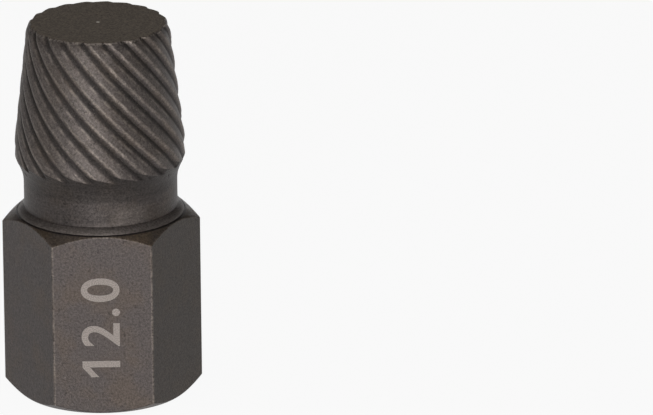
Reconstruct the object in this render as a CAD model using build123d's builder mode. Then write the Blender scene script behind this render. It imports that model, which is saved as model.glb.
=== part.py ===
"""Spiral-flute screw extractor with a hexagonal drive body, turned and ground from one bar.

The part stands on its hexagonal end.  Z points up along its axis, and the origin is
the centre of the base.  One flat of the hexagon faces -Y, and two corners lie on X.
All sizes are in millimetres.
"""

import os
from math import atan2, cos, degrees, radians, sqrt, tan

from build123d import *

# Hexagonal drive body
hex_across_flats = 12.0
hex_length = 13.0
base_face_inset = 0.15  # from the flats to the edge of the flat base, all round
base_chamfer_angle = 33.0
top_face_inset = 0.05
top_chamfer_angle = 37.0

# Small sloping ring that closes the foot of the neck, with a fine groove under it
ring_diameter = 11.6
ring_height = 0.42
ring_ledge = 0.05  # from the neck to the upper edge of its sloping face
ring_bulge = 0.045  # how far that face swells, outwards and upwards alike
ring_groove_width = 0.06
ring_groove_diameter = 11.2

# Neck, and the ground radius that runs out of it into the head
neck_step = 0.58  # from the head down to the neck, on the radius
neck_length = 1.72
shoulder_radius = 3.2

# Head blank: a short parallel land, a long taper and a crowned end
head_diameter = 11.86
head_land_length = 1.25
taper_length = 7.66
crown_length = 0.77
crown_drop = 0.28  # how far the crown falls inwards, on the radius
tip_diameter = 9.54

# Left-hand spiral flutes, which leave a row of sharp-edged teeth.  From its foot a flute
# rises steeply to the crest of one tooth, and on the other side it climbs a wall to the
# edge of the next tooth's back, which slopes up gently to that tooth's own crest.
flute_count = 20
flute_lead = 36.2  # along the axis, for one full turn
flute_depth = 0.38  # of the whole section
flute_steep_width = 0.31
flute_wall_width = 0.36
flute_wall_rise = 0.24
tooth_back_width = 0.575
flute_cut_at_shoulder = 0.40  # how deep the section is let in at each end of the head
flute_cut_at_crown = 0.375
flute_start_angle = 1.7  # about Z, where the first flute starts
flute_end_cut = 0.14  # how deep a flute may still be where it ends on the shoulder
flute_end_angle = 60.0  # of the cone up which its foot then climbs out
flute_run_out = 0.9  # how far the section runs on below the head, through the shoulder
flute_overrun = 0.6  # how far it runs past the tip and out of the head

# Levels and radii worked out from the sizes above
flat_radius = hex_across_flats / 2
corner_radius = flat_radius / cos(radians(30))
base_radius = flat_radius - base_face_inset
top_radius = flat_radius - top_face_inset
base_chamfer_height = (corner_radius - base_radius) * tan(radians(base_chamfer_angle))
top_chamfer_height = (corner_radius - top_radius) * tan(radians(top_chamfer_angle))

ring_radius = ring_diameter / 2
ring_bottom = hex_length + ring_groove_width
ring_top = ring_bottom + ring_height
groove_radius = ring_groove_diameter / 2

head_radius = head_diameter / 2
neck_radius = head_radius - neck_step
shoulder_bottom = ring_top + neck_length
shoulder_height = sqrt(shoulder_radius**2 - (shoulder_radius - neck_step) ** 2)
head_bottom = shoulder_bottom + shoulder_height
taper_bottom = head_bottom + head_land_length
crown_bottom = taper_bottom + taper_length
tip_level = crown_bottom + crown_length
tip_radius = tip_diameter / 2
crown_radius = tip_radius + crown_drop

flute_fall = (head_radius - flute_cut_at_shoulder) - (crown_radius - flute_cut_at_crown)
flute_slope = flute_fall / (crown_bottom - head_bottom)
flute_taper_angle = degrees(atan2(flute_fall, crown_bottom - head_bottom))
tooth_back_slope = (flute_depth - flute_wall_rise) / tooth_back_width
flute_outside = flute_depth + flute_overrun
end_radius = head_radius - flute_end_cut
end_level = shoulder_bottom + sqrt(
    shoulder_radius**2 - (shoulder_radius + neck_radius - end_radius) ** 2
)
end_rise = flute_depth * tan(radians(flute_end_angle))

os.makedirs("parts", exist_ok=True)

with BuildPart() as extractor:
    # Hexagonal bar, its corners turned down at both ends
    with BuildSketch():
        RegularPolygon(flat_radius, 6, major_radius=False)
    extrude(amount=hex_length)
    with BuildSketch(Plane.XZ):
        with BuildLine():
            Polyline(
                (0, 0),
                (base_radius, 0),
                (corner_radius, base_chamfer_height),
                (corner_radius, hex_length - top_chamfer_height),
                (top_radius, hex_length),
                (0, hex_length),
                close=True,
            )
        make_face()
    revolve(axis=Axis.Z, mode=Mode.INTERSECT)

    # Ring, neck and shoulder, and the blank of the head
    with BuildSketch(Plane.XZ):
        with BuildLine():
            Polyline(
                (0, tip_level),
                (0, hex_length),
                (groove_radius, hex_length),
                (groove_radius, ring_bottom),
                (ring_radius, ring_bottom),
            )
            ThreePointArc(
                (ring_radius, ring_bottom),
                (
                    (ring_radius + neck_radius + ring_ledge) / 2 + ring_bulge,
                    (ring_bottom + ring_top) / 2 + ring_bulge,
                ),
                (neck_radius + ring_ledge, ring_top),
            )
            Polyline(
                (neck_radius + ring_ledge, ring_top),
                (neck_radius, ring_top),
                (neck_radius, shoulder_bottom),
            )
            RadiusArc(
                (neck_radius, shoulder_bottom),
                (head_radius, head_bottom),
                shoulder_radius,
            )
            Polyline(
                (head_radius, head_bottom),
                (head_radius, taper_bottom),
                (crown_radius, crown_bottom),
            )
            TangentArc(
                (crown_radius, crown_bottom),
                (tip_radius, tip_level),
                tangent=(crown_radius - head_radius, taper_length),
            )
            Line((tip_radius, tip_level), (0, tip_level))
        make_face()
    revolve(axis=Axis.Z)

with BuildPart() as flute:
    # One flute as a bar swept up a conical left-hand spiral that follows the taper
    with BuildLine() as spiral:
        Helix(
            flute_lead / cos(radians(flute_taper_angle)),
            tip_level - head_bottom + flute_run_out + flute_overrun,
            head_radius - flute_cut_at_shoulder + flute_run_out * flute_slope,
            center=(0, 0, head_bottom - flute_run_out),
            cone_angle=-flute_taper_angle,
            lefthand=True,
        )
    section = Plane(spiral.line @ 0, x_dir=(1, 0, 0), z_dir=spiral.line % 0)
    with BuildSketch(section):
        with BuildLine():
            Polyline(
                (0, 0),
                (flute_depth, flute_steep_width),
                (flute_outside, flute_steep_width),
                (flute_outside, -flute_wall_width - tooth_back_width - flute_overrun),
                (
                    flute_depth + flute_overrun * tooth_back_slope,
                    -flute_wall_width - tooth_back_width - flute_overrun,
                ),
                (flute_wall_rise, -flute_wall_width),
                close=True,
            )
        make_face()
    sweep(path=spiral.line, is_frenet=True)

with extractor:
    with PolarLocations(0, flute_count, start_angle=flute_start_angle):
        add(flute.part, mode=Mode.SUBTRACT)

    # Core of the shoulder, which closes the lower ends of the flutes
    with BuildSketch(Plane.XZ):
        with BuildLine():
            Polyline(
                (end_radius, end_level),
                (end_radius - flute_depth, end_level + end_rise),
                (0, end_level + end_rise),
                (0, shoulder_bottom),
                (neck_radius, shoulder_bottom),
            )
            RadiusArc(
                (neck_radius, shoulder_bottom),
                (end_radius, end_level),
                shoulder_radius,
            )
        make_face()
    revolve(axis=Axis.Z)

extractor.part.label = "extractor"
export_step(extractor.part, "parts/extractor.step")
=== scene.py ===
"""Looks of a short spiral-flute screw extractor in dark phosphated steel."""

from math import atan2, cos, hypot, pi, radians, sin, sqrt, tan

import bmesh
import bpy
from mathutils import Matrix, Vector, noise


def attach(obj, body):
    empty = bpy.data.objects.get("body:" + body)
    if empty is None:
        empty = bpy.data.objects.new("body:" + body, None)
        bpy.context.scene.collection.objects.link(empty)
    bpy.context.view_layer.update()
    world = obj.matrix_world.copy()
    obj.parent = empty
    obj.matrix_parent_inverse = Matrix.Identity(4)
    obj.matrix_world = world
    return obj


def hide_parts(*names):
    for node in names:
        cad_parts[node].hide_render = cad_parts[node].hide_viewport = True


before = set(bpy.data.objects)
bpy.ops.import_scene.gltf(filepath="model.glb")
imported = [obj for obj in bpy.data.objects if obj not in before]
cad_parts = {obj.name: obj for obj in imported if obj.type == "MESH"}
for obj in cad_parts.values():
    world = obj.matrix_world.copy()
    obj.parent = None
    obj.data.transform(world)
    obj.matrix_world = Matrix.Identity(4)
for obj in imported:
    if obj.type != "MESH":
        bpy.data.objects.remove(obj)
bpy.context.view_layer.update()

# Camera.  A long lens, well back and about nineteen degrees above the bench.  It is
# rolled a touch to the left, and the tool stands at the left of its frame.
photo_width, photo_height = 653, 415
focal_pixels = 10687.0
aim = Vector((0, 0, 0.01395))
aim_pixel = (100.8, 196.27)
camera_elevation = radians(18.96)
camera_roll = radians(0.954)
camera_distance = 0.745

camera = bpy.data.objects.new("camera", bpy.data.cameras.new("camera"))
bpy.context.scene.collection.objects.link(camera)
bpy.context.scene.camera = camera
camera.data.sensor_width = 36
camera.data.lens = focal_pixels * 36 / photo_width
camera.data.clip_start = 0.05
camera.data.clip_end = 20

backward = Vector((0, -cos(camera_elevation), sin(camera_elevation)))
level_right = Vector((1, 0, 0))
level_up = backward.cross(level_right)
right = level_right * cos(camera_roll) - level_up * sin(camera_roll)
up = level_right * sin(camera_roll) + level_up * cos(camera_roll)
turned = Matrix((right, up, backward)).transposed().to_quaternion()
aim_ray = Vector(
    (aim_pixel[0] - photo_width / 2, photo_height / 2 - aim_pixel[1], -focal_pixels)
)
turned = turned @ aim_ray.rotation_difference(Vector((0, 0, -1)))
camera.matrix_world = Matrix.LocRotScale(
    aim + backward * camera_distance, turned, None
)

# Bench and studio.  A pale bench that shows white, under a wide soft sky of light that
# is brightest low down and on the left.  A long soft box stands low in front, and three
# weaker ones stand on the left, behind and above.
bench_mesh = bmesh.new()
bmesh.ops.create_grid(bench_mesh, x_segments=1, y_segments=1, size=3.0)
bench_data = bpy.data.meshes.new("bench")
bench_mesh.to_mesh(bench_data)
bench_mesh.free()
bench = bpy.data.objects.new("bench", bench_data)
bpy.context.scene.collection.objects.link(bench)


class Value:
    """A socket that carries one number, for shader maths in plain expressions."""

    def __init__(self, tree, socket):
        self.tree = tree
        self.socket = socket

    def maths(self, operation, *others):
        """One Math node on this value and others."""
        settings = {"operation": operation}
        node = self.tree.add("ShaderNodeMath", settings, (self, *others))
        return node.out("Value")

    def __add__(self, other):
        return self.maths("ADD", other)

    def __sub__(self, other):
        return self.maths("SUBTRACT", other)

    def __mul__(self, other):
        return self.maths("MULTIPLY", other)

    def __rsub__(self, other):
        return (self * -1) + other

    def band(self, low, high):
        """0 below low and 1 above high, eased in between; low may be the higher."""
        node = self.tree.add(
            "ShaderNodeMapRange",
            {"interpolation_type": "SMOOTHSTEP"},
            (self, low, high, 0.0, 1.0),
        )
        return node.out("Result")

    __radd__ = __add__
    __rmul__ = __mul__


class Node:
    """One shader node, whose outputs are read by name."""

    def __init__(self, tree, node):
        self.tree = tree
        self.node = node

    def out(self, name):
        return Value(self.tree, self.node.outputs[name])


class Finish:
    """A material being put together from nodes."""

    def __init__(self, name):
        self.material = bpy.data.materials.new(name)
        self.material.use_nodes = True
        self.tree = self.material.node_tree
        self.tree.nodes.clear()

    def add(self, kind, settings=None, inputs=()):
        """Adds a node.  Inputs come by place, or by name in a dictionary."""
        node = self.tree.nodes.new(kind)
        for key, value in (settings or {}).items():
            setattr(node, key, value)
        pairs = inputs.items() if isinstance(inputs, dict) else enumerate(inputs)
        for key, value in pairs:
            if isinstance(value, Value):
                self.tree.links.new(value.socket, node.inputs[key])
            else:
                node.inputs[key].default_value = value
        return Node(self, node)

    def blend(self, factor, first, second, how="MIX"):
        """Two colours mixed."""
        node = self.add(
            "ShaderNodeMix",
            {"data_type": "RGBA", "blend_type": how},
            {0: factor, 6: first, 7: second},
        )
        return Value(self, node.node.outputs[2])

    def noise(self, place, scale, detail=2.0, roughness=0.5):
        """Soft random blotches, about 0 to 1."""
        node = self.add(
            "ShaderNodeTexNoise",
            None,
            {"Vector": place, "Scale": scale, "Detail": detail, "Roughness": roughness},
        )
        return node.out("Fac")

    def finish(self, shader):
        """The finished material, once its shader is wired to the output."""
        self.add("ShaderNodeOutputMaterial", None, {"Surface": shader})
        return self.material


bench_finish = Finish("bench_white")
ray = bench_finish.add("ShaderNodeLightPath")
seen = ray.out("Is Camera Ray").maths("MAXIMUM", ray.out("Is Glossy Ray"))
seen = seen.maths("MAXIMUM", ray.out("Is Transmission Ray"))
lit = bench_finish.add(
    "ShaderNodeBsdfDiffuse", None, {"Color": (0.8, 0.8, 0.8, 1.0)}
).out("BSDF")
plain = bench_finish.add(
    "ShaderNodeEmission", None, {"Color": (1.0, 1.0, 1.0, 1.0), "Strength": 1.0}
).out("Emission")
bench_shader = bench_finish.add(
    "ShaderNodeMixShader", None, (seen * 0.93, lit, plain)
).out("Shader")
bench_data.materials.append(bench_finish.finish(bench_shader))

world = bpy.data.worlds.new("studio")
bpy.context.scene.world = world
world.use_nodes = True
world.node_tree.nodes.clear()


class Sky(Finish):
    """The studio's surroundings, put together as a material is."""

    def __init__(self, tree):
        self.tree = tree


sky = Sky(world.node_tree)
direction = sky.add("ShaderNodeTexCoord").out("Generated")
parts = sky.add("ShaderNodeSeparateXYZ", None, (direction,))
height = parts.out("Z")
from_left = 0.5 - parts.out("X") * 0.5
brightness = (0.055 + from_left * 0.078) * (1.0 - height.band(0.12, 0.55) * 0.50)
sky_shader = sky.add(
    "ShaderNodeBackground",
    None,
    {"Color": (1.0, 1.0, 1.0, 1.0), "Strength": brightness},
).out("Background")
sky.add("ShaderNodeOutputWorld", None, {"Surface": sky_shader})


def soft_box(name, width, depth, place, watts):
    """An area light that faces the tool."""
    lamp = bpy.data.lights.new(name, "AREA")
    lamp.shape = "RECTANGLE"
    lamp.size = width
    lamp.size_y = depth
    lamp.energy = watts
    lamp_object = bpy.data.objects.new(name, lamp)
    bpy.context.scene.collection.objects.link(lamp_object)
    facing = (aim - Vector(place)).to_track_quat("-Z", "Y")
    lamp_object.matrix_world = Matrix.LocRotScale(Vector(place), facing, None)
    lamp_object.visible_camera = False


soft_box("box_front", 0.34, 0.08, (0.0, -0.63, 0.045), 2.95)
soft_box("box_left", 0.20, 0.20, (-0.60, -0.22, 0.11), 0.16)
soft_box("box_behind", 0.34, 0.06, (0.0, 0.63, 0.032), 0.55)
soft_box("box_above", 0.3, 0.3, (0.0, -0.05, 0.65), 0.80)

bpy.context.scene.view_settings.view_transform = "Standard"

# The extractor.  One bar of steel, turned, milled and ground, then phosphated dark: a
# hexagonal body, a small ring, a neck and a tapered head with left-hand spiral flutes.
# Its outline is spun round the axis, and its columns are then moved out to the flats
# of the body and twisted along the flutes of the head.
teeth, lead = 20, 36.2
columns = 480
columns_per_tooth = columns // teeth
columns_per_flat = columns // 6
step = 2 * pi / columns

# Sizes in millimetres: radii from the axis, and levels above the flat base
flat_radius, corner_radius = 5.99, 6.0 / cos(radians(30))
body_top, body_top_radius, body_base_radius = 13.0, 5.95, 5.85
top_slope, base_slope = tan(radians(37.0)), tan(radians(33.0))
ring_bottom, ring_top, ring_radius, ring_bulge = 13.06, 13.48, 5.8, 0.045
groove_radius, neck_radius, neck_top = 5.67, 5.35, 15.20
shoulder_radius = 3.2
taper_bottom, crown_bottom, tip = 18.287, 25.947, 26.717
head_radius, crown_radius, tip_radius = 5.93, 5.05, 4.77

# A tooth, from its foot: the steep side, the crest, the back and the wall to the next
# foot.  Its columns are twisted from the level where the teeth end on the shoulder.
teeth_end = 16.2
crest_width, back_width, wall_width = 0.35, 0.56, 0.33
tooth_depth, wall_height = 0.21, 0.10
steep_rise = tooth_depth / crest_width
wall_rise = wall_height / wall_width
back_rise = (tooth_depth - wall_height) / back_width
crest_share = 0.28
foot_angle, foot_level = -3.1, 22.0
end_radius, end_level, end_slope = 5.79, 16.81, 1 / tan(radians(60.0))


def soft_min(first, second, round_off):
    """The smaller of two, with the corner between them rounded off."""
    near = max(round_off - abs(first - second), 0.0) / round_off
    return min(first, second) - near * near * round_off / 4


def soft_max(first, second, round_off):
    """The larger of two, rounded off in the same way."""
    return -soft_min(-first, -second, round_off)


def shoulder_surface(level):
    """The ground radius between neck and head."""
    if level <= neck_top:
        return neck_radius
    rise = min(level - neck_top, shoulder_radius)
    return neck_radius + shoulder_radius - sqrt(shoulder_radius**2 - rise * rise)


def taper_radius(level):
    """The land, the taper and the crown of the head."""
    if level <= taper_bottom:
        return head_radius
    slope = (head_radius - crown_radius) / (crown_bottom - taper_bottom)
    above = max(level - crown_bottom, 0.0)
    fall = crown_radius - tip_radius - slope * (tip - crown_bottom)
    bend = fall / (tip - crown_bottom) ** 2
    return head_radius - slope * (level - taper_bottom) - bend * above * above


def blank_radius(level):
    """The head before its flutes are cut, with the shoulder under it."""
    if level > taper_bottom:
        return taper_radius(level)
    return soft_min(head_radius, shoulder_surface(level), 0.05)


def tooth_pitch(level):
    """From one tooth to the next, square across them."""
    around = 2 * pi * max(blank_radius(level), 5.0)
    return around / teeth * lead / hypot(lead, around)


def tooth_place(column, level):
    """Where on a tooth a column runs, from foot to foot, close-set at the edges."""
    pitch = tooth_pitch(level)
    crest = crest_width / pitch
    edge = 1 - wall_width / pitch
    stops = ((0, 0.0), (8, crest), (17, edge), (columns_per_tooth, 1.0))
    for (first, low), (last, high) in zip(stops, stops[1:]):
        if column <= last:
            share = (column - first) / (last - first)
            return low + (high - low) * (share - 0.1 * sin(2 * pi * share))
    return 1.0


def head_surface(place, level):
    """The head's radius at a place across a tooth, at one level."""
    pitch = tooth_pitch(level)
    from_left, from_right = place * pitch, (1 - place) * pitch
    steep = from_left * steep_rise
    wall = from_right * wall_rise
    back = wall_height + (from_right - wall_width) * back_rise
    rise = soft_min(steep, soft_min(wall, back, 0.04), 0.04)
    cut = taper_radius(level) - tooth_depth + rise + 0.01
    radius = soft_min(blank_radius(level), cut, 0.02)
    run_out = end_radius - (level - end_level) * end_slope
    if level < end_level:
        run_out = shoulder_surface(level) - 0.002
    return soft_max(radius, run_out, 0.06)


def crest_wear(place, angle, level):
    """Small dents that use has left along the crests and in the backs."""
    near_crest = max(0.0, 1 - abs(place - crest_share) / 0.09)
    spot = Vector((head_radius * sin(angle), head_radius * cos(angle), level))
    nicks = max(0.0, noise.noise(spot * 2.6) - 0.14) * 0.12
    waves = abs(noise.noise(spot * 0.9)) * 0.02
    return near_crest * (nicks + waves)


def flat_surface(angle):
    """The hexagon's radius at an angle from the middle of a flat, corners eased."""
    turn = abs(angle) % (pi / 3)
    turn = min(turn, pi / 3 - turn)
    return soft_min(flat_radius / cos(turn), flat_radius / cos(pi / 3 - turn), 0.09)


def body_angle(column):
    """Columns of the body: even on the flats and close-set at the corners."""
    flat, along = divmod(column + columns_per_flat // 2, columns_per_flat)
    place = along / (columns_per_flat / 2) - 1
    return radians(60 * flat + 30 * (1.45 * place - 0.45 * place**3))


def head_angle(column, level):
    """Columns of the head, which follow the spiral."""
    tooth, along = divmod(column - first_column, columns_per_tooth)
    turned_by = bottom_angle - 360 / lead * (level - teeth_end)
    return radians(turned_by + 360 / teeth * (tooth + tooth_place(along, level)))


bottom_angle = foot_angle + 360 / lead * (foot_level - teeth_end)
bottom_angle -= 360 / teeth * round(bottom_angle / (360 / teeth))
first_column = round(radians(bottom_angle) / step)

# The outline, from the middle of the tip down to the middle of the base
outline = []
for share in (0.0, 0.03, 0.06, 0.3, 0.6, 0.85, 0.96):
    outline.append((tip_radius * share, tip))
outline.append((tip_radius - 0.045, tip))
outline.append((tip_radius - 0.013, tip - 0.013))
outline.append((tip_radius, tip - 0.045))
levels = [tip - 0.045 - 0.725 * (n / 11) for n in range(1, 12)]
levels += [crown_bottom - (crown_bottom - 17.5) * n / 58 for n in range(1, 59)]
levels += [17.5 - (17.5 - 16.7) * n / 26 for n in range(1, 27)]
levels += [16.7 - (16.7 - teeth_end) * n / 6 for n in range(1, 7)]
levels += [teeth_end - (teeth_end - neck_top) * n / 8 for n in range(1, 9)]
outline += [(blank_radius(level), level) for level in levels]
outline += [(neck_radius, 14.8), (neck_radius, 14.2), (neck_radius, 13.8)]
outline += [(neck_radius, ring_top + 0.06), (neck_radius + 0.02, ring_top + 0.015)]
for share in (0.0, 0.03, 0.08, 0.2, 0.35, 0.5, 0.65, 0.8, 0.92, 0.97, 1.0):
    swell = ring_bulge * 4 * share * (1 - share)
    radius = neck_radius + 0.05 + (ring_radius - neck_radius - 0.05) * share + swell
    outline.append((radius, ring_top - (ring_top - ring_bottom) * share + swell))
outline += [(groove_radius + 0.02, ring_bottom), (groove_radius, ring_bottom - 0.015)]
outline += [(groove_radius, body_top + 0.015), (groove_radius + 0.02, body_top)]
outline += [(5.8, body_top), (body_top_radius - 0.03, body_top)]

corner_top = body_top - (corner_radius - body_top_radius) * top_slope
corner_base = (corner_radius - body_base_radius) * base_slope
for share in (0.04, 0.12, 0.25, 0.4, 0.55, 0.7, 0.82, 0.9, 0.95, 0.98, 1.0):
    radius = body_top_radius + (corner_radius - body_top_radius) * share
    outline.append((radius, body_top - (body_top - corner_top) * share))
near_rim = (0.003, 0.006, 0.01, 0.02, 0.05)
for share in (*near_rim, 0.2, 0.4, 0.6, 0.8, *(1 - n for n in near_rim[::-1]), 1.0):
    outline.append((corner_radius, corner_top - (corner_top - corner_base) * share))
for share in (0.03, 0.07, 0.15, 0.3, 0.5, 0.7, 0.9, 0.97):
    radius = corner_radius - (corner_radius - body_base_radius) * share
    outline.append((radius, corner_base * (1 - share)))
outline += [(body_base_radius - 0.02, 0.0)]
outline += [(radius, 0.0) for radius in (5.4, 4.0, 2.0, 0.0)]

turning = bmesh.new()
line = [turning.verts.new((0, -radius, level)) for radius, level in outline]
edges = [turning.edges.new(pair) for pair in zip(line, line[1:])]
bmesh.ops.spin(
    turning,
    geom=line + edges,
    cent=(0, 0, 0),
    axis=(0, 0, 1),
    dvec=(0, 0, 0),
    angle=2 * pi,
    steps=columns,
    use_merge=True,
)
bmesh.ops.remove_doubles(turning, verts=turning.verts, dist=0.0005)

# Each column goes to its place on the flats or along the flutes
for vertex in turning.verts:
    radius = hypot(vertex.co.x, vertex.co.y)
    level = vertex.co.z
    if radius < 0.001:
        continue
    column = round(atan2(vertex.co.x, -vertex.co.y) / step) % columns
    angle = body_angle(column)
    if level >= teeth_end - 0.0005:
        angle = head_angle(column, level)
        place = tooth_place((column - first_column) % columns_per_tooth, level)
        cut = head_surface(place, level) - crest_wear(place, angle, level)
        radius = cut if level < tip - 0.02 else radius / tip_radius * cut
    elif level > neck_top:
        share = (level - neck_top) / (teeth_end - neck_top)
        share = share * share * (3 - 2 * share)
        swing = head_angle(column, teeth_end) - angle
        swing = (swing + pi) % (2 * pi) - pi
        angle += swing * share
    elif level < body_top - 0.001 and level > 0.001:
        flat = flat_surface(angle)
        flat_top = body_top - (flat - body_top_radius) * top_slope
        flat_base = (flat - body_base_radius) * base_slope
        if level >= corner_top:
            share = (body_top - level) / (body_top - corner_top)
            level = body_top - share * (body_top - flat_top)
        elif level >= corner_base:
            share = (corner_top - level) / (corner_top - corner_base)
            level = flat_top - share * (flat_top - flat_base)
        else:
            level = level / corner_base * flat_base
        cone_top = body_top_radius + (body_top - level) / top_slope
        cone_base = body_base_radius + level / base_slope
        radius = soft_min(soft_min(flat, cone_top, 0.06), cone_base, 0.05)
    vertex.co = (radius * sin(angle), -radius * cos(angle), level)

bmesh.ops.recalc_face_normals(turning, faces=turning.faces)
for face in turning.faces:
    face.smooth = True
bmesh.ops.scale(turning, vec=(0.001, 0.001, 0.001), verts=turning.verts)
extractor_data = bpy.data.meshes.new("extractor_steel")
turning.to_mesh(extractor_data)
turning.free()
extractor_data.set_sharp_from_angle(angle=radians(40))
extractor = bpy.data.objects.new("extractor_steel", extractor_data)
bpy.context.scene.collection.objects.link(extractor)


def steel_shade(red, green, blue):
    """A colour read as it looks, on a scale of 255, as the shader takes it."""
    linear = [
        c / 12.92 if c <= 0.04045 else ((c + 0.055) / 1.055) ** 2.4
        for c in (red / 255, green / 255, blue / 255)
    ]
    return (*linear, 1.0)


steel = Finish("phosphated_steel")
metres = steel.add("ShaderNodeTexCoord").out("Object")
place_mm = steel.add(
    "ShaderNodeVectorMath", {"operation": "SCALE"}, {"Vector": metres, "Scale": 1000.0}
).out("Vector")
split = steel.add("ShaderNodeSeparateXYZ", None, (place_mm,))
across, into, level = split.out("X"), split.out("Y"), split.out("Z")
radius = (across * across + into * into).maths("SQRT")

# The flutes run straight up in these coordinates, which turn back with the spiral
straight = steel.add(
    "ShaderNodeVectorRotate",
    {"rotation_type": "Z_AXIS"},
    {"Vector": place_mm, "Angle": level * (2 * pi / lead)},
).out("Vector")
drawn = steel.add(
    "ShaderNodeMapping", None, {"Vector": straight, "Scale": (1.0, 1.0, 0.07)}
).out("Vector")
back_split = steel.add("ShaderNodeSeparateXYZ", None, (straight,))
turn = back_split.out("Y").maths("ARCTAN2", back_split.out("X"))
foot_turn = radians(foot_angle - 90) + 2 * pi / lead * foot_level
on_tooth = turn * (teeth / (2 * pi)) - (foot_turn * teeth / (2 * pi)) + 3 * teeth
on_tooth = on_tooth.maths("FRACT")

# Crystals of the finish, its clouds, and the lines that turning and facing left
grain = steel.noise(place_mm, 6.5, 3.0, 0.65)
fine = steel.noise(place_mm, 17.0, 2.0, 0.6)
clouds = steel.noise(place_mm, 0.45, 3.0, 0.55)
drift = steel.noise(place_mm, 1.4, 2.0, 0.5)
streak = steel.noise(drawn, 5.0, 3.0, 0.6)
rings = steel.add(
    "ShaderNodeMapping", None, {"Vector": place_mm, "Scale": (0.5, 0.5, 8.0)}
).out("Vector")
lathe = steel.noise(rings, 1.0, 2.0, 0.6).band(0.32, 0.68)
circles = steel.add("ShaderNodeCombineXYZ", None, (radius * 6.0,)).out("Vector")
faced = steel.noise(circles, 1.0, 2.0, 0.6).band(0.32, 0.68)

# Parts of the head: the flat tip, and across each tooth its crest, back and valley
on_tip = level.band(26.70, 26.712)
on_head = (level + on_tooth * 0.78 - 17.398).band(-0.05, 0.05)
on_teeth = on_head * (1.0 - on_tip)
backs = on_tooth.band(crest_share, 0.36) * (1.0 - on_tooth.band(0.64, 0.80))
backs = backs * on_teeth
valleys = (1.0 - on_tooth.band(0.0, 0.16)) * 0.7 + on_tooth.band(0.72, 0.93)
valleys = valleys * level.band(16.55, 16.80) * (1.0 - on_tip)
crests = on_tooth.band(0.12, 0.25) * (1.0 - on_tooth.band(0.30, 0.39)) * on_teeth
back_edges = on_tooth.band(0.62, 0.71) * (1.0 - on_tooth.band(0.74, 0.83)) * on_teeth

# Corners and rims of the body, where the finish has rubbed through
slant = across * cos(radians(30))
flat_place = into.maths("ABSOLUTE")
flat_place = flat_place.maths("MAXIMUM", (slant + into * 0.5).maths("ABSOLUTE"))
flat_place = flat_place.maths("MAXIMUM", (slant - into * 0.5).maths("ABSOLUTE"))
to_cone = (body_top_radius + body_top / top_slope) - level * (1 / top_slope) - radius
on_body = 1.0 - level.band(12.98, 13.02)
corner = radius.band(6.845, 6.90) * on_body
rim = flat_place.band(5.88, 5.96) * (1.0 - to_cone.band(0.03, 0.11)) * on_body
cone = (1.0 - to_cone.band(0.0, 0.05)) * on_body
# The shoulder under the head, which is given painted shade below
shoulder = level.band(15.1, 15.45) * (1.0 - on_head)
neck = level.band(13.5, 13.55) * (1.0 - on_head)
ring = level.band(13.04, 13.08) * (1.0 - level.band(13.46, 13.5))

# Painted sheen on a patch at the front right of the neck, and painted shade on the
# right side of the body
painted_sheen_patch = across.band(0.2, 1.9) * (1.0 - across.band(2.3, 3.8))
painted_sheen_patch = painted_sheen_patch * (1.0 - into.band(-3.0, -1.0))
painted_sheen_patch = painted_sheen_patch * (1.0 - level.band(14.3, 15.2)) * neck
painted_shade_side = across.band(3.40, 3.60) * on_body * (1.0 - cone)

# Colours part by part, with painted sheen and shade, then the mottle, last the bare
# steel
dark = steel_shade(77, 71, 69)
warm = steel_shade(85, 74, 65)
brown = steel_shade(92, 78, 62)
painted_shade_olive = steel_shade(54, 49, 42)
deep_tone = steel_shade(44, 41, 39)
ground_and_sheen_tone = steel_shade(98, 91, 87)
bare_steel = steel_shade(172, 160, 149)
tip_tone = steel_shade(125, 114, 101)
pip_tone = steel_shade(236, 228, 214)

colour = steel.blend(clouds.band(0.40, 0.68) * 0.5, dark, warm)
colour = steel.blend(backs * (streak.band(0.25, 0.75) * 0.6 + 0.3), colour, ground_and_sheen_tone)
colour = steel.blend(cone * (clouds.band(0.35, 0.6) * 0.5 + 0.2), colour, brown)
# The neck is laid a little darker all over
colour = steel.blend(neck * 0.30, colour, deep_tone)
# Painted sheen: the patch at the front right of the neck is laid lighter
painted_sheen_patch = painted_sheen_patch * (clouds.band(0.3, 0.6) * 0.4 + 0.35)
colour = steel.blend(painted_sheen_patch, colour, ground_and_sheen_tone)
# Painted shade: the right side of the body is laid darker and olive
colour = steel.blend(painted_shade_side * 0.5, colour, painted_shade_olive)
# Painted shade on the shoulder, which faces down under the head
colour = steel.blend(shoulder * 0.42, colour, deep_tone)
colour = steel.blend(ring, colour, ground_and_sheen_tone)
# The valleys between the teeth are laid darker
colour = steel.blend(valleys * 0.72, colour, deep_tone)
colour = steel.blend(on_tip * 0.85, colour, tip_tone)
mottle = grain * 0.62 + fine * 0.38
pits = steel.noise(place_mm, 3.1, 2.0, 0.5).band(0.66, 0.72)
tint = (mottle.band(0.33, 0.69) * 0.85 + 0.58) * (1.0 - pits * 0.35)
turned_lines = (lathe * 0.22 - 0.11) * (neck + ring)
faced_lines = (faced * 0.16 - 0.08) * on_tip
tint = tint * (turned_lines + faced_lines + 1.0)
colour = steel.add(
    "ShaderNodeVectorMath", {"operation": "SCALE"}, {"Vector": colour, "Scale": tint}
).out("Vector")
worn = crests * (drift.band(0.30, 0.70) * 0.6 + 0.4)
worn = worn * (grain.band(0.35, 0.65) * 0.6 + 0.4)
worn = worn * 0.40 + back_edges * drift.band(0.40, 0.65) * 0.22
crystals = steel.noise(place_mm, 9.0, 1.0, 0.5).band(0.66, 0.74) * on_teeth
crystals = crystals * (drift.band(0.45, 0.60) * 0.7 + 0.3)
tip_edge = level.band(26.50, 26.66) * (1.0 - on_tip) * grain.band(0.40, 0.58)
worn = worn + crystals * 0.22 + tip_edge * 0.42
rubbed = (corner * 0.40 + rim * 0.22) * (drift.band(0.38, 0.62) * 0.6 + 0.4)
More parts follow.
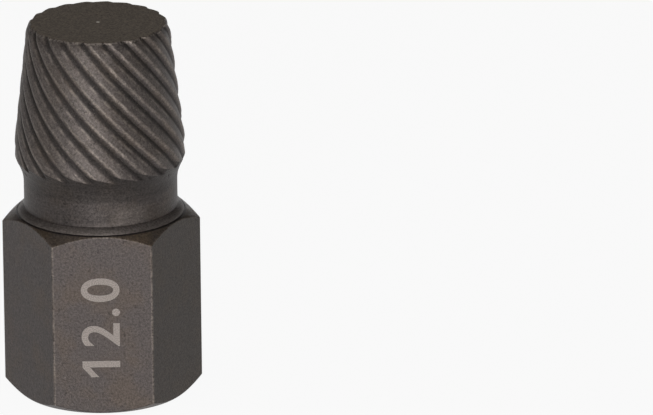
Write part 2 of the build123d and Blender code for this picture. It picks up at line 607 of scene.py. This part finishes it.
rubbed = rubbed * grain.band(0.30, 0.60)
pip = on_tip * (1.0 - radius.band(0.08, 0.16))
colour = steel.blend((worn + rubbed).maths("MINIMUM", 1.0), colour, bare_steel)
colour = steel.blend(pip, colour, pip_tone)

rough = 0.42 + mottle * 0.16 + valleys * 0.15 - worn * 0.10 + on_tip * 0.28
bump = steel.add(
    "ShaderNodeBump",
    None,
    {"Strength": 0.8, "Distance": 0.00005, "Height": mottle + streak * on_teeth * 0.6},
).out("Normal")
coat = steel.add(
    "ShaderNodeBsdfPrincipled",
    None,
    {
        "Base Color": colour,
        "Roughness": rough,
        "Metallic": 0.60 - on_tip * 0.4,
        "Specular IOR Level": 0.24,
        "Normal": bump,
    },
)
extractor_data.materials.append(steel.finish(coat.out("BSDF")))
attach(extractor, "root")
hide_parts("extractor")

# Size mark.  Plain numbers burnt into the steel of the front flat by a laser, which
# leaves them pale.  They read upwards along the body and give the hexagon's width.
numbers = bpy.data.curves.new("numbers", "FONT")
numbers.body = "12.0"
numbers.align_x = "CENTER"
numbers.align_y = "CENTER"
numbers.size = 3.7
numbers.offset = 0.05
numbers.space_character = 1.17
numbers_thickness = 0.004
numbers.extrude = numbers_thickness
numbers_object = bpy.data.objects.new("numbers", numbers)
bpy.context.scene.collection.objects.link(numbers_object)
bpy.context.view_layer.update()
depsgraph = bpy.context.evaluated_depsgraph_get()
mark_data = bpy.data.meshes.new_from_object(numbers_object.evaluated_get(depsgraph))
bpy.data.objects.remove(numbers_object)

# The typeface's 1 is a bare stroke, so a slanting flag is put to its top
corners = [vertex.co for vertex in mark_data.vertices]
one_left = min(spot.x for spot in corners)
one_top = max(spot.y for spot in corners if spot.x < one_left + 0.3)
lettering = bmesh.new()
lettering.from_mesh(mark_data)
flag_reach, flag_drop, flag_width = 0.72, 0.62, 0.52
flag = bmesh.ops.create_cube(lettering, size=2 * numbers_thickness)["verts"]
for vertex in flag:
    left, low = vertex.co.x < 0, vertex.co.y < 0
    vertex.co.x = one_left - (flag_reach if left else 0.0)
    vertex.co.y = one_top - (flag_drop if left else 0.0) - (flag_width if low else 0.0)
lettering.to_mesh(mark_data)
lettering.free()
mark_front, mark_level = -5.9955, 6.4
on_front_flat = Matrix(
    ((0, -1, 0, 0.0), (0, 0, -1, mark_front), (1, 0, 0, mark_level), (0, 0, 0, 1))
)
mark_data.transform(Matrix.Scale(0.001, 4) @ on_front_flat)
mark = bpy.data.objects.new("size_mark", mark_data)
bpy.context.scene.collection.objects.link(mark)
burnt = Finish("laser_mark")
place = burnt.add("ShaderNodeTexCoord").out("Object")
spots = burnt.noise(place, 14000.0, 3.0, 0.6)
burnt_dark, burnt_pale = steel_shade(122, 114, 109), steel_shade(172, 162, 155)
tone = burnt.blend(spots.band(0.32, 0.68), burnt_dark, burnt_pale)
face = burnt.add(
    "ShaderNodeBsdfPrincipled",
    None,
    {"Base Color": tone, "Roughness": 0.7, "Metallic": 0.2},
)
mark_data.materials.clear()
mark_data.materials.append(burnt.finish(face.out("BSDF")))
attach(mark, "root")
